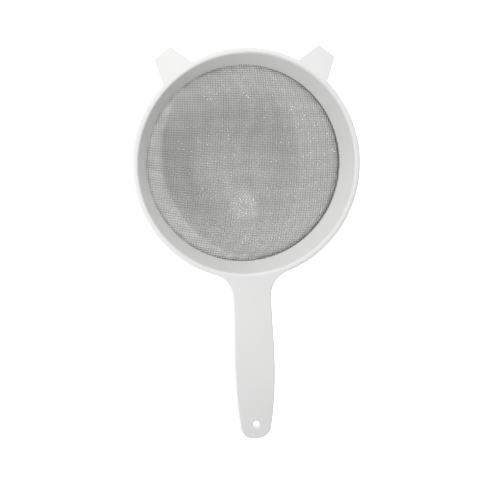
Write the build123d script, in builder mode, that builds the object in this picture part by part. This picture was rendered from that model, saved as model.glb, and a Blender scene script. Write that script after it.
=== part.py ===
"""Double sieve strainer: one moulded frame, two pressed wire sieves and the rings that hold them.

Millimetres, +Z up. The origin is the centre of the flat underside of the fine sieve, on which the
strainer stands. The handle runs along -Y and the two rest ears point towards +Y.
"""
from build123d import *
import math
import os

# Frame: lip, collar and the skirt that houses the sieve rims
lip_radius = 100.0  # outside of the lip
lip_width = 4.6  # flat top of the lip, from its inner edge to its outside
bead_depth = 4.6  # height of the solid bead under the lip
wall = 2.2  # moulded wall of the collar and the skirt
collar_depth = 23.0  # lip top to the shoulder that the coarse sieve seats under
collar_narrowing = 8.2  # inner edge of the lip to the opening at the shoulder, on the radius
bead_round = 1.8  # rounding on the outside of the lip
lip_inner_round = 2.2  # rounding on the inner edge of the lip
foot_round = 0.6  # rounding on the foot of the skirt and of the clamp ring

# Sieves: wire cloth pressed to a dish with a flat rim
rim_width = 4.8  # flat rim that is clamped
rim_clearance = 0.3  # sieve rim or ring to the skirt bore, on the radius
neck_gap = 0.7  # collar opening to the neck of the dish, on the radius
neck_drop = 2.0  # straight drop of the cloth inside the rim
neck_bend = 0.9  # bend radius of the cloth between rim and neck
coarse_cloth = 0.7  # two coarse wires thick
coarse_dome_depth = 14.2  # lowest point of the dome to the knuckle
coarse_side_run = 14.9  # knuckle, where the dome turns up into the side, to the neck, on the radius
coarse_side_radius = 45.0  # curvature of the coarse side
sieve_gap = 9.0  # between the bottoms of the two dishes
fine_cloth = 0.5  # two fine wires thick
fine_foot_radius = 34.0  # flat bottom that the strainer stands on

# Rings that hold the two rims
spacer_height = 3.0
clamp_height = 4.2
ring_bore_gap = 1.0  # dish neck to the bore of a ring, on the radius
snap_bead = 0.45  # how far the snap bead stands out of the clamp ring
snap_groove_clearance = 0.1
snap_bead_height = 1.4

# Rest ears
ear_angle = 36.3  # each side of +Y
ear_length = 19.6  # outside of the lip to the middle of the tip
ear_tip_width = 17.6
ear_root_width = 31.2  # at the outside of the lip
ear_thickness = 3.2
ear_round = 0.7
ear_tip_corner = 0.8

# Handle
handle_length = 146.5  # outside of the lip to the end of the handle
neck_width = 34.2
palm_width = 35.8
palm_from_lip = 54.0  # outside of the lip to the widest place
tail_width = 29.4
tail_from_end = 17.0  # end of the handle to where the tail width is held
tail_taper = 0.14  # slope of each side over the tail
end_corner = 12.0  # plan radius of the corners at the end
neck_fillet = 22.0  # plan radius between lip and handle
neck_reach = 7.0  # how far the neck reaches up beside the lip
handle_crown = 4.2  # how far the arched back rises above the lip
crown_from_lip = 72.0
end_rise = 0.5  # height of the end above the lip
end_dip = 0.12  # slope of the back at the end
handle_depth = 8.6  # back of the handle to the edge of its side walls
handle_wall = 2.2
handle_round = 1.3
rib_count = 4
rib_thickness = 1.6
rib_setback = 1.5  # ribs stop this far above the edge of the side walls
hang_hole_radius = 2.9
hang_hole_from_end = 14.0
hang_hole_round = 1.2
boss_wall = 2.4
boss_depth = 4.0  # back of the handle to the underside of the boss

# Derived places, shared by the pieces that meet
lip_inner_radius = lip_radius - lip_width
opening_radius = lip_inner_radius - collar_narrowing
neck_radius = opening_radius - neck_gap
ring_radius = neck_radius + rim_width
ring_bore = neck_radius + ring_bore_gap
seat_radius = ring_radius + rim_clearance
knuckle_radius = neck_radius - coarse_side_run
dome_radius = (knuckle_radius**2 + coarse_dome_depth**2) / (2 * coarse_dome_depth)
side_centre = knuckle_radius * (1 - coarse_side_radius / dome_radius)
knuckle_slope = math.asin(knuckle_radius / dome_radius)
neck_slope = math.asin((neck_radius - side_centre) / coarse_side_radius)
side_drop = coarse_side_radius * (math.cos(knuckle_slope) - math.cos(neck_slope))
coarse_foot = fine_cloth + sieve_gap
knuckle = coarse_foot + coarse_dome_depth
coarse_rim = knuckle + side_drop + neck_drop
shoulder = coarse_rim + coarse_cloth
lip_top = shoulder + collar_depth
spacer_foot = coarse_rim - spacer_height
clamp_top = spacer_foot - fine_cloth
clamp_foot = clamp_top - clamp_height
fine_depth = clamp_top - neck_drop
fine_run = neck_radius - fine_foot_radius
fine_side_radius = (fine_run**2 + fine_depth**2) / (2 * fine_depth)
cone_run = collar_narrowing / collar_depth
cone_wall = wall * math.hypot(1.0, cone_run)
snap_middle = clamp_foot + clamp_height / 2
handle_end = -(lip_radius + handle_length)


def collar_radius(height):
    """Inner radius of the conical collar at a height."""
    return opening_radius + cone_run * (height - shoulder)


def handle_outline(inset, root):
    """Plan of the handle, drawn in from its true edge by inset, from the line y = root to its end."""
    tail = handle_end + tail_from_end
    palm = -(lip_radius + palm_from_lip)
    neck = -(lip_radius + neck_fillet)
    end = handle_end + inset
    neck_half = neck_width / 2 - inset
    palm_half = palm_width / 2 - inset
    tail_half = tail_width / 2 - inset
    end_half = tail_half - tail_taper * (tail - end)
    with BuildSketch() as outline:
        with BuildLine():
            Line((neck_half, root), (neck_half, neck))
            Spline(
                (neck_half, neck),
                (palm_half, palm),
                (tail_half, tail),
                tangents=[(0, -1), (-tail_taper, -1)],
            )
            Line((tail_half, tail), (end_half, end))
            mirror(about=Plane.YZ)
            Line((-neck_half, root), (neck_half, root))
            Line((-end_half, end), (end_half, end))
        make_face()
        fillet(outline.vertices().group_by(Axis.Y)[0], radius=end_corner - inset)
    return outline.sketch


def back_region(drop, depth):
    """Side view of the space under the arched back, lowered by drop and reaching depth further down."""
    root = -lip_radius / 2
    crest = -(lip_radius + crown_from_lip)
    past_end = handle_end - handle_depth
    start = lip_top - drop
    with BuildSketch() as region:
        with BuildLine():
            for level in (start, start - depth):
                Line((root, level), (-lip_radius, level))
                Spline(
                    (-lip_radius, level),
                    (crest, level + handle_crown),
                    (past_end, level + end_rise),
                    tangents=[(-1, 0), (-1, -end_dip)],
                )
            Line((root, start), (root, start - depth))
            Line((past_end, start + end_rise), (past_end, start + end_rise - depth))
        make_face()
    return region.sketch


def cloth_rim(height):
    """Underside of a sieve's flat rim at a height, its bend and its straight neck, as lines."""
    bend_start = (neck_radius + neck_bend, height)
    bend_end = (neck_radius, height - neck_bend)
    Line((ring_radius, height), bend_start)
    RadiusArc(bend_start, bend_end, -neck_bend)
    Line(bend_end, (neck_radius, height - neck_drop))


# Handle with its neck: the plan, cut to the arched side view and rounded along its back
with BuildPart() as handle_blank:
    with BuildSketch(Plane.XY):
        Circle(lip_radius)
        add(handle_outline(0.0, -lip_radius / 2))
        neck_corners = vertices().filter_by_position(
            Axis.Y, -lip_radius, -lip_radius / 2, inclusive=(True, False)
        )
        fillet(neck_corners, radius=neck_fillet)
        with Locations((0, neck_reach)):
            Rectangle(2 * lip_radius, 2 * lip_radius, mode=Mode.SUBTRACT)
    extrude(amount=lip_top + 2 * handle_crown)
    with BuildSketch(Plane.YZ.offset(-lip_radius)):
        add(back_region(0.0, lip_top / 2))
    extrude(amount=2 * lip_radius, mode=Mode.INTERSECT)
    along_back = edges().filter_by_position(Axis.Z, lip_top - 1, lip_top + 2 * handle_crown)
    across_neck = along_back.filter_by(Axis.X).filter_by_position(Axis.Y, -lip_radius - 1, 0)
    fillet(along_back - across_neck, radius=handle_round)
    with BuildSketch(Plane.YZ.offset(-lip_radius)):
        add(back_region(handle_depth, lip_top))
    extrude(amount=2 * lip_radius, mode=Mode.SUBTRACT)
    with BuildSketch(Plane.XZ):
        with BuildLine():
            Polyline(
                (0, shoulder),
                (opening_radius + cone_wall / 2, shoulder),
                (lip_inner_radius + lip_inner_round, lip_top),
                (lip_inner_radius + lip_inner_round, lip_top + handle_crown),
                (0, lip_top + handle_crown),
                close=True,
            )
        make_face()
    revolve(axis=Axis.Z, mode=Mode.SUBTRACT)

# Boss round the hanging hole, under the handle
with BuildPart() as hole_boss:
    with Locations((0, handle_end + hang_hole_from_end, lip_top)):
        Cylinder(hang_hole_radius + boss_wall, 4 * handle_depth)
    with BuildSketch(Plane.YZ.offset(-lip_radius)):
        add(back_region(boss_depth, lip_top))
    extrude(amount=2 * lip_radius, mode=Mode.SUBTRACT)

# Hollow under the handle, with the cross ribs and the boss of the hanging hole left standing
with BuildPart() as handle_hollow:
    with BuildSketch(Plane.XY):
        add(handle_outline(handle_wall, -(lip_radius + handle_wall)))
    extrude(amount=lip_top + 2 * handle_crown)
    with BuildSketch(Plane.YZ.offset(-lip_radius)):
        add(back_region(handle_wall, lip_top / 2))
    extrude(amount=2 * lip_radius, mode=Mode.INTERSECT)
    rib_pitch = (handle_length - hang_hole_from_end) / (rib_count + 1)
    for rib in range(rib_count):
        with BuildSketch(Plane.YZ.offset(-lip_radius)):
            add(back_region(0.0, handle_depth - rib_setback))
            with Locations((-(lip_radius + (rib + 1) * rib_pitch), lip_top)):
                Rectangle(rib_thickness, 4 * lip_radius, mode=Mode.INTERSECT)
        extrude(amount=2 * lip_radius, mode=Mode.SUBTRACT)
    add(hole_boss.part, mode=Mode.SUBTRACT)

# One rest ear, pointing along +Y
with BuildPart() as ear_blank:
    with BuildSketch(Plane.XY.offset(lip_top - ear_thickness)) as ear_plan:
        ear_root = lip_inner_radius + lip_inner_round
        ear_reach = lip_radius + ear_length
        lip_crossing = math.sqrt(lip_radius**2 - ear_root_width**2 / 4)
        taper = (ear_root_width - ear_tip_width) / 2 / (ear_reach - lip_crossing)
        root_x = ear_tip_width / 2 + taper * (ear_reach - ear_root)
        with BuildLine():
            Polyline(
                (-root_x, ear_root),
                (-ear_tip_width / 2, ear_reach),
                (ear_tip_width / 2, ear_reach),
                (root_x, ear_root),
                close=True,
            )
        make_face()
        fillet(ear_plan.vertices().group_by(Axis.Y)[-1], radius=ear_tip_corner)
    extrude(amount=ear_thickness)
    ear_rim = faces().sort_by(Axis.Z)[-1].edges() + faces().sort_by(Axis.Z)[0].edges()
    fillet(ear_rim - ear_rim.group_by(Axis.Y)[0], radius=ear_round)

# Frame: lip, collar, skirt, ears and handle in one moulding
with BuildPart() as strainer_frame:
    with BuildSketch(Plane.XZ) as frame_section:
        bead_foot = lip_top - bead_depth
        step = shoulder + wall
        with BuildLine():
            Polyline(
                (lip_inner_radius, lip_top),
                (lip_radius, lip_top),
                (lip_radius, bead_foot),
                (collar_radius(bead_foot) + cone_wall, bead_foot),
                (collar_radius(step) + cone_wall, step),
                (seat_radius + wall, step),
                (seat_radius + wall, clamp_foot),
                (seat_radius, clamp_foot),
                (seat_radius, shoulder),
                (opening_radius, shoulder),
                close=True,
            )
        make_face()
        fillet(frame_section.vertices().group_by(Axis.Y)[-1].sort_by(Axis.X)[-1], radius=bead_round)
        fillet(frame_section.vertices().group_by(Axis.Y)[-1].sort_by(Axis.X)[0], radius=lip_inner_round)
        fillet(frame_section.vertices().group_by(Axis.Y)[0], radius=foot_round)
    revolve(axis=Axis.Z)
    for side in (-1, 1):
        add(ear_blank.part.rotate(Axis.Z, side * ear_angle))
    add(handle_blank.part)
    add(handle_hollow.part, mode=Mode.SUBTRACT)
    with BuildSketch(Plane.XZ):
        groove = seat_radius - rim_clearance + snap_bead + snap_groove_clearance
        with Locations((seat_radius, snap_middle)):
            Rectangle(
                2 * (groove - seat_radius),
                snap_bead_height + 2 * snap_groove_clearance,
            )
    revolve(axis=Axis.Z, mode=Mode.SUBTRACT)
    with Locations((0, handle_end + hang_hole_from_end, lip_top)):
        Cylinder(hang_hole_radius, 4 * handle_depth, mode=Mode.SUBTRACT)
    hole_rims = edges(Select.LAST).sort_by(Axis.Z)
    fillet(hole_rims[-1], radius=hang_hole_round)
strainer_frame.part.label = "strainer_frame"

# Coarse sieve: domed dish of coarse cloth, drawn along its underside
with BuildPart() as coarse_sieve:
    with BuildSketch(Plane.XZ):
        with BuildLine():
            cloth_rim(coarse_rim)
            RadiusArc((neck_radius, coarse_rim - neck_drop), (knuckle_radius, knuckle), coarse_side_radius)
            RadiusArc((knuckle_radius, knuckle), (0, coarse_foot), dome_radius)
            offset(amount=coarse_cloth, side=Side.RIGHT)
        make_face()
    revolve(axis=Axis.Z)
coarse_sieve.part.label = "coarse_sieve"

# Fine sieve: deeper dish of fine cloth with a flat bottom, drawn along its underside
with BuildPart() as fine_sieve:
    with BuildSketch(Plane.XZ):
        with BuildLine():
            cloth_rim(clamp_top)
            RadiusArc((neck_radius, fine_depth), (fine_foot_radius, 0), fine_side_radius)
            Line((fine_foot_radius, 0), (0, 0))
            offset(amount=fine_cloth, side=Side.RIGHT)
        make_face()
    revolve(axis=Axis.Z)
fine_sieve.part.label = "fine_sieve"

# Spacer ring between the two rims
with BuildPart() as spacer_ring:
    with BuildSketch(Plane.XY.offset(spacer_foot)):
        Circle(ring_radius)
        Circle(ring_bore, mode=Mode.SUBTRACT)
    extrude(amount=spacer_height)
spacer_ring.part.label = "spacer_ring"

# Clamp ring under the fine sieve, with the bead that snaps into the skirt
with BuildPart() as clamp_ring:
    with BuildSketch(Plane.XZ) as clamp_section:
        with BuildLine():
            Polyline(
                (ring_bore, clamp_foot),
                (ring_radius, clamp_foot),
                (ring_radius, snap_middle - snap_bead_height / 2),
                (ring_radius + snap_bead, snap_middle),
                (ring_radius, snap_middle + snap_bead_height / 2),
                (ring_radius, clamp_top),
                (ring_bore, clamp_top),
                close=True,
            )
        make_face()
        fillet(clamp_section.vertices().group_by(Axis.Y)[0], radius=foot_round)
    revolve(axis=Axis.Z)
clamp_ring.part.label = "clamp_ring"

os.makedirs("parts", exist_ok=True)
for piece in (strainer_frame, coarse_sieve, spacer_ring, fine_sieve, clamp_ring):
    export_step(piece.part, f"parts/{piece.part.label}.step")
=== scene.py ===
"""Looks of the double sieve strainer: two dished woven sieves in one white moulded frame.

Metres, +Z up, in the frame of the CAD part: the strainer stands on the floor at the origin, its
handle runs along -Y and its rest ears point towards +Y.
"""
import logging
import math
from dataclasses import dataclass
from enum import Enum

import bpy
import numpy as np
from mathutils import Matrix, Vector


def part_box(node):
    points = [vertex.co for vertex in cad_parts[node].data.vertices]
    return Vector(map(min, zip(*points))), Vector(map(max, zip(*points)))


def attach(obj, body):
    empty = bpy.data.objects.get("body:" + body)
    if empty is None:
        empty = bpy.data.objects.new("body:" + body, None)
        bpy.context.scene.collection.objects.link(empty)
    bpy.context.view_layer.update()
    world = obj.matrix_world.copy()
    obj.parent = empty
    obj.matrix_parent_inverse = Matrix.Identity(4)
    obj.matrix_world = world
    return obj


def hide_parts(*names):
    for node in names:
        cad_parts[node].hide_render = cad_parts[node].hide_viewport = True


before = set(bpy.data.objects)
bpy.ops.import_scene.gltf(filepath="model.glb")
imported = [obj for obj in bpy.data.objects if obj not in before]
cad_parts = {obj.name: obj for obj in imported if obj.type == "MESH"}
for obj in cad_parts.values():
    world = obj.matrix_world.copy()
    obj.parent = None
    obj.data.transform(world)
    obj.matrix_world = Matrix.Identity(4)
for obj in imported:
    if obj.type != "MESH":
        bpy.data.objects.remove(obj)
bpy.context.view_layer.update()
MM = 0.001

# Sizes of the CAD part that its nodes' boxes don't give.
COLLAR_DEPTH = 23.0 * MM
SIEVE_RIM = 4.8 * MM
NECK_DROP = 2.0 * MM
COARSE_CLOTH = 0.7 * MM
COARSE_SIDE_SPAN = 14.9 * MM
COARSE_SIDE_RADIUS = 45.0 * MM
COARSE_DOME = 14.2 * MM
FINE_CLOTH = 0.5 * MM
FINE_FOOT = 34.0 * MM

# The weave, and how deep the finishes' bumps are.
COARSE_PITCH = 1.5 * MM
COARSE_WIRE = 0.30 * MM
FINE_PITCH = 0.8 * MM
FINE_WIRE = 0.20 * MM
GRAIN_DEPTH = 0.05 * MM
STREAK_DEPTH = 0.02 * MM
SLOPE_STEP = 0.05 * MM
NEAR_ZERO = 1e-9

# Shares used inside the wire's shader.
STREAK_SHARE = 0.5
PATCH_SHARE = 0.5
GLOSS_SPREAD = 0.10
# Painted highlight: share of the highlight disc's radius that is fully pale.
HIGHLIGHT_CORE = 0.45

log = logging.getLogger("strainer")


class Lay(Enum):
    """Which way a set of wires runs through the cloth."""

    WARP = "warp"
    WEFT = "weft"


class Side(Enum):
    """Which half of the cloth a bank of wires covers."""

    WHOLE = "all"
    LOW = "low"
    HIGH = "high"


# ---------------------------------------------------------------- shader groups


@dataclass(frozen=True)
class Socket:
    """One named socket of a shader group."""

    name: str
    kind: str = "NodeSocketFloat"
    value: float | tuple[float, ...] | None = None


class ShaderGroup:
    """A named node group with inputs and outputs, built once and placed in many materials."""

    def __init__(self, name: str, inputs: list[Socket], outputs: list[Socket]) -> None:
        """Makes the empty group.

        Args:
            name: name of the group.
            inputs: sockets that a material sets.
            outputs: sockets that a material reads.
        """
        self.tree = bpy.data.node_groups.new(name, "ShaderNodeTree")
        for socket in inputs:
            made = self.tree.interface.new_socket(
                socket.name, in_out="INPUT", socket_type=socket.kind
            )
            if socket.value is not None:
                made.default_value = socket.value
        for socket in outputs:
            self.tree.interface.new_socket(socket.name, in_out="OUTPUT", socket_type=socket.kind)
        self.source = self.tree.nodes.new("NodeGroupInput")
        self.result = self.tree.nodes.new("NodeGroupOutput")

    def node(self, kind: str, **settings: object) -> bpy.types.Node:
        """Adds a node and sets its properties."""
        return add_node(self.tree, kind, **settings)

    def wire(self, start: bpy.types.NodeSocket, end: bpy.types.NodeSocket) -> None:
        """Links two sockets."""
        self.tree.links.new(start, end)


def add_node(tree: bpy.types.NodeTree, kind: str, **settings: object) -> bpy.types.Node:
    """Adds a node to a tree.

    Args:
        tree: the tree that gets the node.
        kind: the node's type, without its ShaderNode prefix.
        settings: properties of the node, by name.

    Returns:
        The new node.
    """
    made = tree.nodes.new("ShaderNode" + kind)
    for name, value in settings.items():
        setattr(made, name, value)
    return made


def build_moulding_group() -> ShaderGroup:
    """Builds the surface of a satin moulding: flow clouding, fine spark texture and gloss patches.

    Returns:
        The group, with the outputs Color, Roughness and Height.
    """
    group = ShaderGroup(
        "moulded_surface",
        [
            Socket("Light", "NodeSocketColor", (0.78, 0.78, 0.775, 1.0)),
            Socket("Shade", "NodeSocketColor", (0.74, 0.74, 0.735, 1.0)),
            Socket("Cloud Scale", value=22.0),
            Socket("Grain Scale", value=2600.0),
            Socket("Base Roughness", value=0.38),
            Socket("Roughness Spread", value=0.10),
        ],
        [
            Socket("Color", "NodeSocketColor"),
            Socket("Roughness"),
            Socket("Height"),
        ],
    )
    place = group.node("TexCoord")
    cloud = group.node("TexNoise")
    cloud.inputs["Detail"].default_value = 3.0
    group.wire(place.outputs["Object"], cloud.inputs["Vector"])
    group.wire(group.source.outputs["Cloud Scale"], cloud.inputs["Scale"])
    grain = group.node("TexNoise")
    grain.inputs["Detail"].default_value = 2.0
    group.wire(place.outputs["Object"], grain.inputs["Vector"])
    group.wire(group.source.outputs["Grain Scale"], grain.inputs["Scale"])
    tint = group.node("Mix", data_type="RGBA")
    group.wire(cloud.outputs["Fac"], tint.inputs["Factor"])
    group.wire(group.source.outputs["Light"], tint.inputs["A"])
    group.wire(group.source.outputs["Shade"], tint.inputs["B"])
    spread = group.node("Math", operation="MULTIPLY_ADD")
    group.wire(cloud.outputs["Fac"], spread.inputs[0])
    group.wire(group.source.outputs["Roughness Spread"], spread.inputs[1])
    group.wire(group.source.outputs["Base Roughness"], spread.inputs[2])
    group.wire(tint.outputs["Result"], group.result.inputs["Color"])
    group.wire(spread.outputs["Value"], group.result.inputs["Roughness"])
    group.wire(grain.outputs["Fac"], group.result.inputs["Height"])
    return group


def build_wire_group() -> ShaderGroup:
    """Builds drawn steel wire: streaks, oxide tint, uneven gloss, a band of painted shade along
    the rim, a patch of painted highlight.

    Returns:
        The group, with the outputs Color, Roughness and Height.
    """
    group = ShaderGroup(
        "drawn_wire",
        [
            Socket("Bright", "NodeSocketColor", (0.72, 0.72, 0.695, 1.0)),
            Socket("Dull", "NodeSocketColor", (0.54, 0.54, 0.515, 1.0)),
            Socket("Patch Scale", value=30.0),
            Socket("Streak Scale", value=1500.0),
            Socket("Base Roughness", value=0.13),
            # Rim colour: painted shade, a dark band mixed into the wire colour near the cloth's
            # rim where it runs under the collar.
            Socket("Rim Painted Shade", "NodeSocketColor", (0.24, 0.24, 0.23, 1.0)),
            Socket("Rim Start", value=83.9 * MM),
            Socket("Rim Width", value=2.4 * MM),
            # Pale colour, place and radius of a painted highlight: a pale disc mixed into the wire
            # colour where a lamp's glint would sit in the dish.
            Socket("Painted Highlight", "NodeSocketColor", (0.95, 0.95, 0.93, 1.0)),
            Socket("Painted Highlight Place", "NodeSocketVector", (0.0, 0.0, 0.0)),
            Socket("Painted Highlight Radius", value=0.1 * MM),
        ],
        [
            Socket("Color", "NodeSocketColor"),
            Socket("Roughness"),
            Socket("Height"),
        ],
    )
    place = group.node("TexCoord")
    patch = group.node("TexNoise")
    patch.inputs["Detail"].default_value = 2.0
    group.wire(place.outputs["Object"], patch.inputs["Vector"])
    group.wire(group.source.outputs["Patch Scale"], patch.inputs["Scale"])
    streak = group.node("TexNoise")
    streak.inputs["Detail"].default_value = 1.0
    group.wire(place.outputs["Object"], streak.inputs["Vector"])
    group.wire(group.source.outputs["Streak Scale"], streak.inputs["Scale"])
    blend = group.node("Math", operation="MULTIPLY_ADD")
    blend.inputs[1].default_value = STREAK_SHARE
    group.wire(streak.outputs["Fac"], blend.inputs[0])
    half = group.node("Math", operation="MULTIPLY")
    half.inputs[1].default_value = PATCH_SHARE
    group.wire(patch.outputs["Fac"], half.inputs[0])
    group.wire(half.outputs["Value"], blend.inputs[2])
    tint = group.node("Mix", data_type="RGBA")
    group.wire(blend.outputs["Value"], tint.inputs["Factor"])
    group.wire(group.source.outputs["Bright"], tint.inputs["A"])
    group.wire(group.source.outputs["Dull"], tint.inputs["B"])
    gloss = group.node("Math", operation="MULTIPLY_ADD")
    gloss.inputs[1].default_value = GLOSS_SPREAD
    group.wire(streak.outputs["Fac"], gloss.inputs[0])
    group.wire(group.source.outputs["Base Roughness"], gloss.inputs[2])
    flat = group.node("VectorMath", operation="MULTIPLY")
    flat.inputs[1].default_value = (1.0, 1.0, 0.0)
    reach = group.node("VectorMath", operation="LENGTH")
    band_end = group.node("Math", operation="ADD")
    band = group.node("MapRange", interpolation_type="SMOOTHSTEP")
    group.wire(place.outputs["Object"], flat.inputs[0])
    group.wire(flat.outputs["Vector"], reach.inputs[0])
    group.wire(group.source.outputs["Rim Start"], band_end.inputs[0])
    group.wire(group.source.outputs["Rim Width"], band_end.inputs[1])
    group.wire(reach.outputs["Value"], band.inputs["Value"])
    group.wire(group.source.outputs["Rim Start"], band.inputs["From Min"])
    group.wire(band_end.outputs["Value"], band.inputs["From Max"])
    # Painted shade: darkens the wire colour in a ring band at the rim, standing in for the shade
    # where the cloth meets the collar.
    rim_painted_shade = group.node("Mix", data_type="RGBA")
    group.wire(band.outputs["Result"], rim_painted_shade.inputs["Factor"])
    group.wire(tint.outputs["Result"], rim_painted_shade.inputs["A"])
    group.wire(group.source.outputs["Rim Painted Shade"], rim_painted_shade.inputs["B"])
    # Painted highlight: a pale disc around a given place, fading out at its radius, mixed over the
    # wire colour.
    apart = group.node("VectorMath", operation="DISTANCE")
    highlight_mask = group.node("MapRange", interpolation_type="SMOOTHSTEP")
    highlight_mask.inputs["To Min"].default_value = 1.0
    highlight_mask.inputs["To Max"].default_value = 0.0
    group.wire(place.outputs["Object"], apart.inputs[0])
    group.wire(group.source.outputs["Painted Highlight Place"], apart.inputs[1])
    group.wire(apart.outputs["Value"], highlight_mask.inputs["Value"])
    core_radius = group.node("Math", operation="MULTIPLY")
    core_radius.inputs[1].default_value = HIGHLIGHT_CORE
    group.wire(group.source.outputs["Painted Highlight Radius"], core_radius.inputs[0])
    group.wire(core_radius.outputs["Value"], highlight_mask.inputs["From Min"])
    group.wire(group.source.outputs["Painted Highlight Radius"], highlight_mask.inputs["From Max"])
    highlighted = group.node("Mix", data_type="RGBA")
    group.wire(highlight_mask.outputs["Result"], highlighted.inputs["Factor"])
    group.wire(rim_painted_shade.outputs["Result"], highlighted.inputs["A"])
    group.wire(group.source.outputs["Painted Highlight"], highlighted.inputs["B"])
    group.wire(highlighted.outputs["Result"], group.result.inputs["Color"])
    group.wire(gloss.outputs["Value"], group.result.inputs["Roughness"])
    group.wire(streak.outputs["Fac"], group.result.inputs["Height"])
    return group


# ---------------------------------------------------------------- finishes


@dataclass(frozen=True)
class Finish:
    """A finish that reads one shader group and adds its own bump."""

    name: str
    group: ShaderGroup
    values: dict[str, float | tuple[float, ...]]
    metallic: float
    bump_strength: float
    bump_distance: float
    specular: float = 0.5

    def material(self) -> bpy.types.Material:
        """Builds the material.

        Returns:
            The material, ready for a slot.
        """
        made = bpy.data.materials.new(self.name)
        made.use_nodes = True
        tree = made.node_tree
        shader = next(node for node in tree.nodes if node.type == "BSDF_PRINCIPLED")
        shader.inputs["Metallic"].default_value = self.metallic
        shader.inputs["Specular IOR Level"].default_value = self.specular
        surface = add_node(tree, "Group", node_tree=self.group.tree)
        for socket, value in self.values.items():
            surface.inputs[socket].default_value = value
        bump = add_node(tree, "Bump")
        bump.inputs["Strength"].default_value = self.bump_strength
        bump.inputs["Distance"].default_value = self.bump_distance
        tree.links.new(surface.outputs["Color"], shader.inputs["Base Color"])
        tree.links.new(surface.outputs["Roughness"], shader.inputs["Roughness"])
        tree.links.new(surface.outputs["Height"], bump.inputs["Height"])
        tree.links.new(bump.outputs["Normal"], shader.inputs["Normal"])
        return made


# ---------------------------------------------------------------- helpers for modelling


def select_none() -> None:
    """Deselects every object."""
    bpy.ops.object.select_all(action="DESELECT")


def make_active(piece: bpy.types.Object) -> None:
    """Selects one object only and makes it the active one.

    Args:
        piece: the object to work on.
    """
    select_none()
    piece.select_set(True)
    bpy.context.view_layer.objects.active = piece


def points_of(piece: bpy.types.Object) -> np.ndarray:
    """Reads a mesh's points.

    Args:
        piece: a mesh object.

    Returns:
        One row of x, y, z for each vertex.
    """
    flat = np.empty(len(piece.data.vertices) * 3, dtype=np.float64)
    piece.data.vertices.foreach_get("co", flat)
    return flat.reshape(-1, 3)


def move_points(piece: bpy.types.Object, points: np.ndarray) -> None:
    """Writes a mesh's points back."""
    piece.data.vertices.foreach_set("co", points.reshape(-1))
    piece.data.update()


# ---------------------------------------------------------------- sieves


@dataclass(frozen=True)
class DishShape:
    """Underside of a pressed sieve, as a height over the plan radius."""

    foot: float
    rim: float
    neck_radius: float
    knuckle_radius: float
    dome_depth: float
    side_radius: float
    neck_blend: float = 1.3 * MM

    def height(self, radius: np.ndarray) -> np.ndarray:
        """Height of the underside.

        Args:
            radius: plan radii.

        Returns:
            One height for each radius.
        """
        knuckle = self.foot + self.dome_depth
        if self.dome_depth > 0:
            dome = (self.knuckle_radius**2 + self.dome_depth**2) / (2 * self.dome_depth)
            within = np.minimum(radius, self.knuckle_radius)
            inner = self.foot + dome - np.sqrt(dome**2 - within**2)
            centre = self.knuckle_radius * (1 - self.side_radius / dome)
            lift = math.sqrt(self.side_radius**2 - (self.knuckle_radius - centre) ** 2)
        else:
            inner = np.full_like(radius, self.foot)
            centre = self.knuckle_radius
            lift = self.side_radius
        reach = np.clip(radius, self.knuckle_radius, self.neck_radius) - centre
        side = knuckle + lift - np.sqrt(self.side_radius**2 - reach**2)
        dish = np.where(radius < self.knuckle_radius, inner, side)
        start = self.neck_radius - self.neck_blend / 2
        step = np.clip((radius - start) / self.neck_blend, 0.0, 1.0)
        smooth = step * step * (3 - 2 * step)
        return dish * (1 - smooth) + self.rim * smooth

    def slope(self, radius: np.ndarray) -> np.ndarray:
        """Rise of the underside per metre outwards.

        Args:
            radius: plan radii.

        Returns:
            One slope for each radius.
        """
        outer = self.height(radius + SLOPE_STEP)
        inner = self.height(np.maximum(radius - SLOPE_STEP, 0))
        return (outer - inner) / (2 * SLOPE_STEP)


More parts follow.
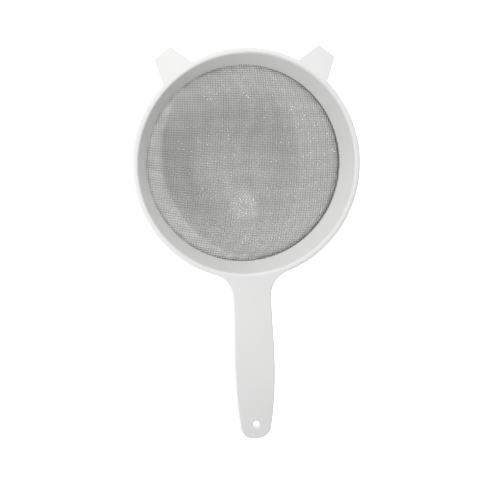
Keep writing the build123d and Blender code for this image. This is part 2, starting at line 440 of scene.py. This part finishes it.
@dataclass
class WovenSieve:
    """Plain woven wire cloth, pressed to a dish, that replaces one CAD sieve."""

    node: str
    shape: DishShape
    finish: bpy.types.Material
    pitch: float
    wire: float
    cloth: float
    rings_per_pitch: int
    rim_radius: float
    sides: int = 4

    def build(self, halves: tuple[Side, ...]) -> list[bpy.types.Object]:
        """Builds all wires of the cloth.

        Args:
            halves: the parts of the cloth that get a piece of their own.

        Returns:
            The pieces, dressed and riding on the root body.
        """
        pieces = []
        for lay in Lay:
            for half in halves:
                piece = self.bank(lay, half)
                self.press(piece, lay)
                self.dress(piece)
                pieces.append(piece)
        return pieces

    def bank(self, lay: Lay, half: Side) -> bpy.types.Object:
        """Lays out one bank of straight parallel wires, cut to the round blank.

        Args:
            lay: which way the wires run.
            half: which half of the cloth they cover.

        Returns:
            The flat bank, with its wires along X.
        """
        step = self.pitch / self.rings_per_pitch
        wires = int(self.rim_radius / self.pitch)
        steps = int(self.rim_radius / step)
        first = -wires if half is not Side.HIGH else 0
        last = wires if half is not Side.LOW else -1
        select_none()
        bpy.ops.mesh.primitive_cylinder_add(
            vertices=self.sides,
            radius=self.wire / 2,
            depth=step,
            end_fill_type="NOTHING",
            rotation=(0, math.pi / 2, 0),
            location=((0.5 - steps) * step, first * self.pitch, 0),
        )
        piece = bpy.context.active_object
        piece.name = f"{self.node}_{lay.value}_{half.value}"
        bpy.ops.object.transform_apply(location=True, rotation=True, scale=True)
        self.repeat(piece, "along", (step, 0, 0), 2 * steps, True)
        self.repeat(piece, "across", (0, self.pitch, 0), last - first + 1, False)
        self.trim(piece)
        return piece

    def repeat(
        self,
        piece: bpy.types.Object,
        name: str,
        offset: tuple[float, float, float],
        count: int,
        join: bool,
    ) -> None:
        """Repeats a mesh by a fixed offset with an array modifier, and applies it.

        Args:
            piece: the mesh to repeat.
            name: name of the modifier.
            offset: step from one copy to the next.
            count: number of copies, the first included.
            join: whether the ends of neighbouring copies are merged.
        """
        array = piece.modifiers.new(name, "ARRAY")
        array.use_relative_offset = False
        array.use_constant_offset = True
        array.constant_offset_displace = offset
        array.count = count
        array.use_merge_vertices = join
        array.merge_threshold = self.wire / 50
        make_active(piece)
        bpy.ops.object.modifier_apply(modifier=array.name)

    def trim(self, piece: bpy.types.Object) -> None:
        """Cuts the wires to the round blank and closes their ends.

        Args:
            piece: a flat bank of wires.
        """
        points = points_of(piece)
        outside = np.hypot(points[:, 0], points[:, 1]) > self.rim_radius
        make_active(piece)
        bpy.ops.object.mode_set(mode="EDIT")
        bpy.ops.mesh.select_all(action="DESELECT")
        bpy.ops.object.mode_set(mode="OBJECT")
        piece.data.vertices.foreach_set("select", outside)
        bpy.ops.object.mode_set(mode="EDIT")
        bpy.ops.mesh.delete(type="VERT")
        bpy.ops.mesh.select_all(action="SELECT")
        bpy.ops.mesh.fill_holes(sides=self.sides)
        bpy.ops.object.mode_set(mode="OBJECT")

    def press(self, piece: bpy.types.Object, lay: Lay) -> None:
        """Crimps the flat wires over and under each other and presses them into the dish.

        Args:
            piece: a flat bank with its wires along X.
            lay: which way the wires run in the finished cloth.
        """
        points = points_of(piece)
        along = points[:, 0]
        index = np.round(points[:, 1] / self.pitch)
        phase = np.pi * (along / self.pitch + index)
        sign = 1.0 if lay is Lay.WARP else -1.0
        rise = points[:, 2] + sign * self.wire / 2 * np.cos(phase)
        if lay is Lay.WARP:
            plan = np.stack([-points[:, 1], along], axis=1)
        else:
            plan = points[:, :2].copy()
        radius = np.hypot(plan[:, 0], plan[:, 1])
        slope = self.shape.slope(radius)
        length = np.hypot(1.0, slope)
        middle = self.shape.height(radius) + self.cloth / 2
        outward = plan / np.maximum(radius, NEAR_ZERO)[:, None]
        pressed = np.empty_like(points)
        pressed[:, :2] = plan - outward * (rise * slope / length)[:, None]
        pressed[:, 2] = middle + rise / length
        move_points(piece, pressed)

    def dress(self, piece: bpy.types.Object) -> None:
        """Gives a bank its finish, hangs it on the root body and hides the CAD sieve that it
        stands for.

        Args:
            piece: a pressed bank of wires.
        """
        make_active(piece)
        bpy.ops.object.shade_smooth()
        piece.data.materials.clear()
        piece.data.materials.append(self.finish)
        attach(piece, "root")
        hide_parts(self.node)
        log.info("%s: %d faces", piece.name, len(piece.data.polygons))


# ---------------------------------------------------------------- moulded parts


@dataclass
class Mouldings:
    """The CAD pieces whose shape is final and that only get a finish."""

    finishes: dict[str, bpy.types.Material]

    def dress(self) -> None:
        """Puts each finish in the slots of its CAD node."""
        for node, finish in self.finishes.items():
            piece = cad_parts[node]
            for slot in piece.material_slots:
                slot.material = finish
            if not piece.material_slots:
                piece.data.materials.append(finish)
            log.info("%s: finish %s", node, finish.name)


# ---------------------------------------------------------------- studio


@dataclass(frozen=True)
class Softbox:
    """A round lamp that shines on the bowl from an azimuth and an elevation, in degrees."""

    name: str
    azimuth: float
    elevation: float
    distance: float
    size: float
    power: float

    def build(self, target: Vector) -> None:
        """Hangs the lamp.

        Args:
            target: the point that it faces.
        """
        lamp = bpy.data.lights.new(self.name, "AREA")
        lamp.shape = "DISK"
        lamp.size = self.size
        lamp.energy = self.power
        hung = bpy.data.objects.new(self.name, lamp)
        bpy.context.scene.collection.objects.link(hung)
        turn, lift = math.radians(self.azimuth), math.radians(self.elevation)
        away = Vector(
            (math.cos(turn) * math.cos(lift), math.sin(turn) * math.cos(lift), math.sin(lift))
        )
        hung.location = target + away * self.distance
        hung.rotation_euler = away.to_track_quat("Z", "Y").to_euler()


@dataclass
class Studio:
    """Pale floor, soft light and the camera.

    The floor gives off light except in a disc under the bowl. The camera leans about its own axes
    by the three angles of camera_lean, in degrees.
    """

    lip_centre: Vector
    sky_strength: float = 0.487
    floor_span: float = 6.0
    floor_white: tuple[float, float, float, float] = (0.95, 0.95, 0.95, 1.0)
    floor_roughness: float = 0.9
    floor_glow: float = 0.6
    shade_centre: tuple[float, float, float] = (9.6 * MM, -3.0 * MM, 0.0)
    shade_radius: float = 97.0 * MM
    shade_fade: float = 6.0 * MM
    lamps: tuple[Softbox, ...] = (
        Softbox("key_left", 195.0, 44.0, 0.75, 0.06, 1.98),
        Softbox("key_top", 90.0, 36.0, 1.0, 0.75, 3.0),
        Softbox("overhead", 76.0, 70.0, 0.62, 0.12, 0.76),
    )
    camera_place: Vector = Vector((-116.6 * MM, 36.5 * MM, 720.9 * MM))
    camera_lean: tuple[float, float, float] = (8.31, 8.84, 1.62)
    camera_lens: float = 61.58
    camera_sensor: float = 36.0
    camera_near: float = 0.01

    def build(self) -> None:
        """Builds the whole stage."""
        self.sky()
        self.floor()
        self.camera()
        for lamp in self.lamps:
            lamp.build(self.lip_centre)
        bpy.context.scene.view_settings.view_transform = "Standard"

    def sky(self) -> None:
        """Makes an even white surround."""
        world = bpy.data.worlds.new("surround")
        world.use_nodes = True
        shade = next(node for node in world.node_tree.nodes if node.type == "BACKGROUND")
        shade.inputs["Color"].default_value = (1.0, 1.0, 1.0, 1.0)
        shade.inputs["Strength"].default_value = self.sky_strength
        bpy.context.scene.world = world

    def floor(self) -> None:
        """Lays the pale floor: it glows all round the bowl, and is clear from below."""
        select_none()
        bpy.ops.mesh.primitive_plane_add(size=self.floor_span, location=(0, 0, 0))
        floor = bpy.context.active_object
        floor.name = "studio_floor"
        paper = bpy.data.materials.new("white_paper")
        paper.use_nodes = True
        tree = paper.node_tree
        shader = next(node for node in tree.nodes if node.type == "BSDF_PRINCIPLED")
        shader.inputs["Base Color"].default_value = self.floor_white
        shader.inputs["Roughness"].default_value = self.floor_roughness
        shader.inputs["Specular IOR Level"].default_value = 0.0
        shader.inputs["Emission Strength"].default_value = self.floor_glow
        place = add_node(tree, "TexCoord")
        away = add_node(tree, "VectorMath", operation="DISTANCE")
        away.inputs[1].default_value = self.shade_centre
        ring = add_node(tree, "MapRange", interpolation_type="SMOOTHSTEP")
        ring.inputs["From Min"].default_value = self.shade_radius
        ring.inputs["From Max"].default_value = self.shade_radius + self.shade_fade
        tree.links.new(place.outputs["Object"], away.inputs[0])
        tree.links.new(away.outputs["Value"], ring.inputs["Value"])
        tree.links.new(ring.outputs["Result"], shader.inputs["Emission Color"])
        clear = add_node(tree, "BsdfTransparent")
        under = add_node(tree, "NewGeometry")
        seen = add_node(tree, "MixShader")
        output = next(node for node in tree.nodes if node.type == "OUTPUT_MATERIAL")
        tree.links.new(under.outputs["Backfacing"], seen.inputs["Fac"])
        tree.links.new(shader.outputs["BSDF"], seen.inputs[1])
        tree.links.new(clear.outputs["BSDF"], seen.inputs[2])
        tree.links.new(seen.outputs["Shader"], output.inputs["Surface"])
        floor.data.materials.append(paper)

    def camera(self) -> None:
        """Sets the camera above the bowl, leaning towards the ears and the left side."""
        lens = bpy.data.cameras.new("view_camera")
        lens.sensor_width = self.camera_sensor
        lens.lens = self.camera_lens
        lens.clip_start = self.camera_near
        eye = bpy.data.objects.new("view_camera", lens)
        bpy.context.scene.collection.objects.link(eye)
        tip, roll, spin = (math.radians(angle) for angle in self.camera_lean)
        turn = (
            Matrix.Rotation(-roll, 4, "Y")
            @ Matrix.Rotation(-tip, 4, "X")
            @ Matrix.Rotation(-spin, 4, "Z")
        )
        eye.matrix_world = Matrix.Translation(self.lip_centre + self.camera_place) @ turn
        bpy.context.scene.camera = eye


# ---------------------------------------------------------------- main


def node_span(node: str) -> tuple[Vector, Vector]:
    """Lowest and highest corner of a CAD node."""
    low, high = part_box(node)
    return Vector(low), Vector(high)


def build_finishes() -> dict[str, bpy.types.Material]:
    """Builds every finish of the strainer.

    Returns:
        The materials, by name.
    """
    moulding = build_moulding_group()
    drawn = build_wire_group()
    finishes = (
        Finish(
            name="white_moulding",
            group=moulding,
            values={"Base Roughness": 0.36},
            metallic=0.0,
            bump_strength=0.08,
            bump_distance=GRAIN_DEPTH,
        ),
        Finish(
            name="ring_moulding",
            group=moulding,
            values={
                "Light": (0.76, 0.76, 0.75, 1.0),
                "Shade": (0.71, 0.71, 0.70, 1.0),
                "Base Roughness": 0.42,
            },
            metallic=0.0,
            bump_strength=0.10,
            bump_distance=GRAIN_DEPTH,
        ),
        Finish(
            name="coarse_wire",
            group=drawn,
            values={
                # Painted highlight on the coarse cloth, below the middle towards the handle, where
                # the overhead lamp's glint would sit.
                "Painted Highlight Place": (2.5 * MM, -39.5 * MM, 14.0 * MM),
                "Painted Highlight Radius": 17.0 * MM,
            },
            metallic=1.0,
            bump_strength=0.15,
            bump_distance=STREAK_DEPTH,
        ),
        Finish(
            name="fine_wire",
            group=drawn,
            values={
                "Bright": (0.62, 0.62, 0.60, 1.0),
                "Dull": (0.46, 0.46, 0.44, 1.0),
                "Streak Scale": 2200.0,
                "Base Roughness": 0.26,
            },
            metallic=1.0,
            bump_strength=0.12,
            bump_distance=STREAK_DEPTH,
        ),
    )
    return {finish.name: finish.material() for finish in finishes}


def plan_coarse_sieve(finish: bpy.types.Material) -> WovenSieve:
    """Plans the upper sieve: a domed floor that turns up into a steep side.

    Args:
        finish: material of its wires.

    Returns:
        The cloth, ready to be built.
    """
    low, high = node_span("coarse_sieve")
    neck = high.x - SIEVE_RIM
    shape = DishShape(
        foot=low.z,
        rim=high.z - COARSE_CLOTH,
        neck_radius=neck,
        knuckle_radius=neck - COARSE_SIDE_SPAN,
        dome_depth=COARSE_DOME,
        side_radius=COARSE_SIDE_RADIUS,
    )
    return WovenSieve(
        node="coarse_sieve",
        shape=shape,
        finish=finish,
        pitch=COARSE_PITCH,
        wire=COARSE_WIRE,
        cloth=COARSE_CLOTH,
        rings_per_pitch=2,
        rim_radius=high.x,
    )


def plan_fine_sieve(finish: bpy.types.Material, neck: float) -> WovenSieve:
    """Plans the lower sieve: a flat foot with one arc up to the neck.

    Args:
        finish: material of its wires.
        neck: plan radius at which both sieves turn out into their rims.

    Returns:
        The cloth, ready to be built.
    """
    low, high = node_span("fine_sieve")
    depth = high.z - FINE_CLOTH - NECK_DROP
    shape = DishShape(
        foot=low.z,
        rim=high.z - FINE_CLOTH,
        neck_radius=neck,
        knuckle_radius=FINE_FOOT,
        dome_depth=0.0,
        side_radius=((neck - FINE_FOOT) ** 2 + depth**2) / (2 * depth),
    )
    return WovenSieve(
        node="fine_sieve",
        shape=shape,
        finish=finish,
        pitch=FINE_PITCH,
        wire=FINE_WIRE,
        cloth=FINE_CLOTH,
        rings_per_pitch=1,
        rim_radius=high.x,
    )


def main() -> None:
    """Builds the stage, the finishes and the sieves."""
    logging.basicConfig(level=logging.INFO, format="%(name)s %(message)s")
    lip_top = node_span("coarse_sieve")[1].z + COLLAR_DEPTH
    Studio(Vector((0, 0, lip_top))).build()
    finishes = build_finishes()
    Mouldings(
        {
            "strainer_frame": finishes["white_moulding"],
            "spacer_ring": finishes["ring_moulding"],
            "clamp_ring": finishes["ring_moulding"],
        }
    ).dress()
    coarse = plan_coarse_sieve(finishes["coarse_wire"])
    coarse.build((Side.WHOLE,))
    fine = plan_fine_sieve(finishes["fine_wire"], coarse.shape.neck_radius)
    fine.build((Side.LOW, Side.HIGH))


if __name__ == "__main__":
    main()
